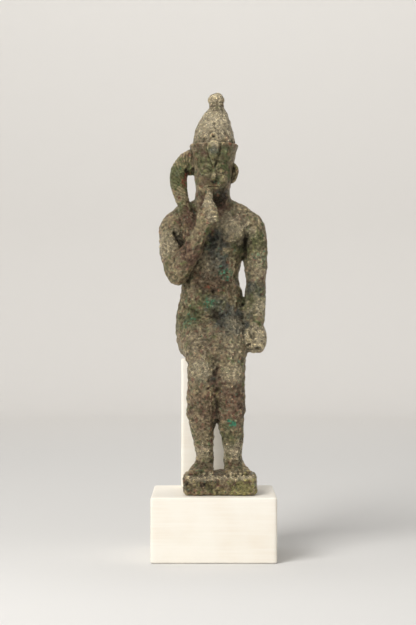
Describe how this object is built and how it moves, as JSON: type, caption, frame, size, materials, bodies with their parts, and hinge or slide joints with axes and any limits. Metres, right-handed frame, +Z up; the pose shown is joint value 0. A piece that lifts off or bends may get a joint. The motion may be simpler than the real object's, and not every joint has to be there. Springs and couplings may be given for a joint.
{
  "type": "egyptian god statue",
  "caption": "Cast bronze seated child god with a finger to the lips, a tall double crown and a sidelock, on a painted wooden mount.",
  "frame": {"origin": "centre of the underside of the wooden base", "axes": "+Z up along the figure, -Y the way the god looks, +X towards the god's left hand"},
  "size_m": [0.046, 0.038, 0.1743],
  "materials": {
    "bronze": "buried bronze, dark olive and brown patina with green and red-brown spots",
    "painted_wood": "matt cream paint"
  },
  "bodies": {
    "root": {"statuette": "bronze", "seat_block": "painted_wood", "base_block": "painted_wood"}
  },
  "joints": []
}
